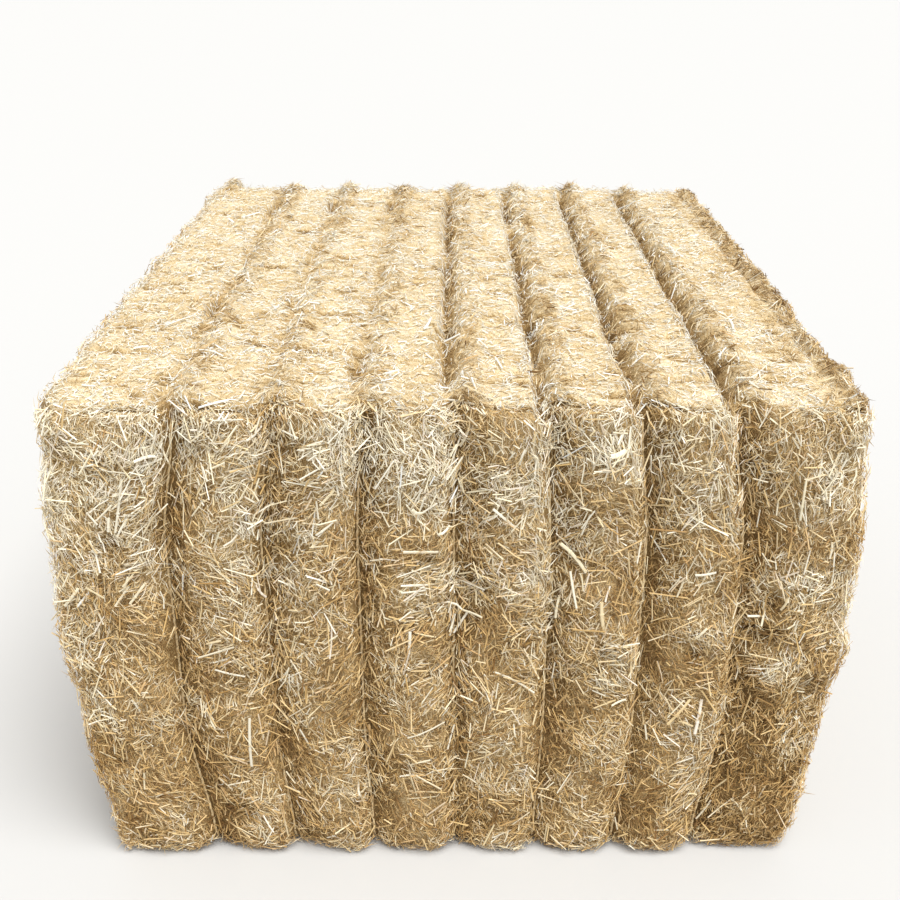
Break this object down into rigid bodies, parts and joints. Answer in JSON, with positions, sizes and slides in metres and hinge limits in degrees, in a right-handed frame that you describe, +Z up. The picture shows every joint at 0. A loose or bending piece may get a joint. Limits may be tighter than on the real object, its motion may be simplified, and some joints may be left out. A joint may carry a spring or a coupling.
{
  "type": "square straw bale",
  "caption": "Large square bale of pressed straw in flakes, held by loops of twine that run in grooves along its top, ends and underside.",
  "frame": {"origin": "middle of the underside", "axes": "+Z up, +Y along the bale's length and its twines, away from the near end, +X across the bale"},
  "size_m": [1.25, 1.42, 0.86],
  "materials": {
    "straw": "dry matt straw, with single straws that shine a little",
    "twine": "twisted natural fibre, matt"
  },
  "bodies": {
    "root": {"flake_01": "straw", "flake_02": "straw", "flake_03": "straw", "flake_04": "straw", "flake_05": "straw", "flake_06": "straw", "flake_07": "straw", "flake_08": "straw", "flake_09": "straw", "flake_10": "straw", "flake_11": "straw", "flake_12": "straw", "flake_13": "straw", "flake_14": "straw", "twine_1": "twine", "twine_2": "twine", "twine_3": "twine", "twine_4": "twine", "twine_5": "twine", "twine_6": "twine", "twine_7": "twine"}
  },
  "joints": []
}
